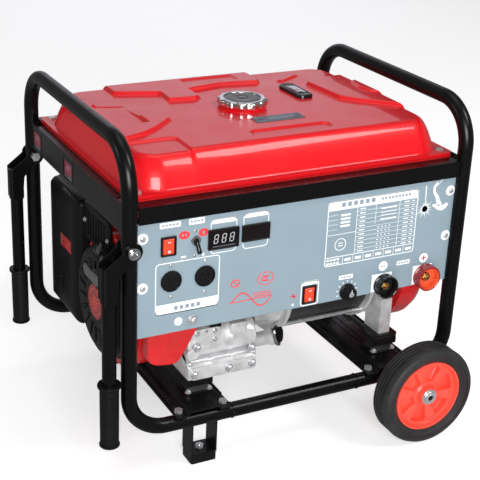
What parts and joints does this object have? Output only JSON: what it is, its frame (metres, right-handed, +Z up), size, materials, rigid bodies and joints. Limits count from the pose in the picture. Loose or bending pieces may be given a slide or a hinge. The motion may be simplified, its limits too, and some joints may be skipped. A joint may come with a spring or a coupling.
{
  "type": "engine driven welder",
  "caption": "Open-frame petrol engine welder and generator with fuel tank on top, front control panel, two wheels, two feet and folding carry handles.",
  "frame": {"origin": "middle of the footprint, on the ground", "axes": "+X along the machine from the handle end to the wheel end, +Y from the control panel to the back, +Z up"},
  "size_m": [0.745, 0.678, 0.6612],
  "materials": {
    "frame_paint": "gloss black powder coat",
    "bracket_paint": "satin black paint",
    "red_paint": "gloss red enamel",
    "panel_paint": "satin blue-grey paint with white print",
    "box_paint": "satin dark grey paint",
    "tyre_rubber": "matt black rubber",
    "grip_rubber": "ribbed black rubber",
    "mount_rubber": "moulded rubber",
    "hub_plastic": "moulded coral red plastic",
    "black_plastic": "moulded black plastic",
    "red_plastic": "moulded red plastic",
    "dark_red_plastic": "moulded dark red plastic",
    "zinc_steel": "bright zinc plated steel",
    "bolt_chrome": "polished",
    "brass_metal": "machined brass",
    "cast_aluminium": "sand cast, bead blasted",
    "machined_aluminium": "machined",
    "machine_steel": "ground steel",
    "winding_core": "varnished laminations",
    "stator_wrap": "black painted laminations",
    "muffler_steel": "heat-dulled steel",
    "lead_yellow": "yellow insulation",
    "hose_rubber": "smooth black rubber",
    "meter_face": "dark display window"
  },
  "bodies": {
    "frame": {"left_hoop": "frame_paint", "right_hoop": "frame_paint", "frame_rails": "frame_paint", "cross_members": "bracket_paint", "tank_rails": "frame_paint", "frame_brackets": "bracket_paint", "foot_pads": "mount_rubber", "wiring_leads": "lead_yellow", "axle": "zinc_steel", "frame_bolts": "zinc_steel", "tank_shell": "red_paint", "tank_pan": "red_paint", "filler_neck": "red_paint", "fuel_gauge": "meter_face", "control_panel": "panel_paint", "control_box": "box_paint", "panel_screws": "zinc_steel", "switch_bodies": "black_plastic", "meters": "meter_face", "ac_sockets": "black_plastic", "black_terminal": "black_plastic", "red_terminal": "dark_red_plastic", "brass_studs": "brass_metal", "rectifier": "machined_aluminium", "rubber_mounts": "mount_rubber", "mount_brackets": "bracket_paint", "crankcase": "cast_aluminium", "cylinder": "cast_aluminium", "head_cover": "cast_aluminium", "blower_housing": "red_paint", "recoil_cover": "black_plastic", "bearings": "machine_steel", "stator": "stator_wrap", "alternator_bells": "cast_aluminium", "end_cover": "red_paint", "through_bolts": "zinc_steel", "air_filter": "black_plastic", "carburettor": "machined_aluminium", "spark_plug": "black_plastic", "muffler": "muffler_steel", "fuel_hose": "hose_rubber"},
    "front_wheel": {"front_tyre": "tyre_rubber", "front_hub": "hub_plastic"},
    "back_wheel": {"back_tyre": "tyre_rubber", "back_hub": "hub_plastic"},
    "front_carry_handle": {"front_handle": "frame_paint", "front_grip": "grip_rubber"},
    "back_carry_handle": {"back_handle": "frame_paint", "back_grip": "grip_rubber"},
    "fuel_cap": {"fuel_cap": "bolt_chrome"},
    "engine_rocker": {"engine_rocker": "red_plastic"},
    "idle_rocker": {"idle_rocker": "red_plastic"},
    "selector_lever": {"selector_lever": "black_plastic"},
    "current_knob": {"current_knob": "black_plastic"},
    "crank_assembly": {"crankshaft": "machine_steel", "flywheel": "machined_aluminium", "rotor": "winding_core"},
    "starter_grip": {"starter_grip": "black_plastic"},
    "choke_lever": {"choke_lever": "black_plastic"},
    "dipstick_cap": {"dipstick_cap": "black_plastic"}
  },
  "joints": [
    {"name": "front_wheel_spin", "type": "hinge", "parent": "frame", "child": "front_wheel", "pos_m": [0.2725, -0.312, 0.1], "axis": [0, 1, 0], "continuous": true},
    {"name": "back_wheel_spin", "type": "hinge", "parent": "frame", "child": "back_wheel", "pos_m": [0.2725, 0.312, 0.1], "axis": [0, 1, 0], "continuous": true},
    {"name": "front_handle_fold", "type": "hinge", "parent": "frame", "child": "front_carry_handle", "pos_m": [-0.3155, -0.256, 0.4742], "axis": [0, 1, 0], "range_deg": [0, 90]},
    {"name": "back_handle_fold", "type": "hinge", "parent": "frame", "child": "back_carry_handle", "pos_m": [-0.3155, 0.256, 0.4742], "axis": [0, 1, 0], "range_deg": [0, 90]},
    {"name": "fuel_cap_turn", "type": "hinge", "parent": "frame", "child": "fuel_cap", "pos_m": [0.0145, -0.006, 0.622], "axis": [0, 0, 1], "range_deg": [0, 90]},
    {"name": "engine_rocker_tilt", "type": "hinge", "parent": "frame", "child": "engine_rocker", "pos_m": [-0.2455, -0.25, 0.469], "axis": [-1, 0, 0], "range_deg": [0, 16]},
    {"name": "idle_rocker_tilt", "type": "hinge", "parent": "frame", "child": "idle_rocker", "pos_m": [0.0345, -0.25, 0.329], "axis": [-1, 0, 0], "range_deg": [0, 16]},
    {"name": "selector_swing", "type": "hinge", "parent": "frame", "child": "selector_lever", "pos_m": [-0.1965, -0.253, 0.471], "axis": [0, 0, 1], "range_deg": [-22, 22]},
    {"name": "current_knob_turn", "type": "hinge", "parent": "frame", "child": "current_knob", "pos_m": [0.1155, -0.256, 0.319], "axis": [0, -1, 0], "range_deg": [-135, 135]},
    {"name": "crank_spin", "type": "hinge", "parent": "frame", "child": "crank_assembly", "pos_m": [-0.0155, -0.084, 0.299], "axis": [1, 0, 0], "continuous": true},
    {"name": "starter_pull", "type": "slide", "parent": "frame", "child": "starter_grip", "axis": [-1, 0, 0], "range_m": [0, 0.75], "stiffness_N_per_m": 20, "springref_m": -0.2},
    {"name": "choke_swing", "type": "hinge", "parent": "frame", "child": "choke_lever", "pos_m": [-0.2035, 0.05926, 0.38952], "axis": [0, -1, 0], "range_deg": [0, 60]},
    {"name": "dipstick_turn", "type": "hinge", "parent": "frame", "child": "dipstick_cap", "pos_m": [-0.0125, -0.224, 0.238], "axis": [0.7602, -0.5523, 0.342], "range_deg": [0, 360]}
  ]
}
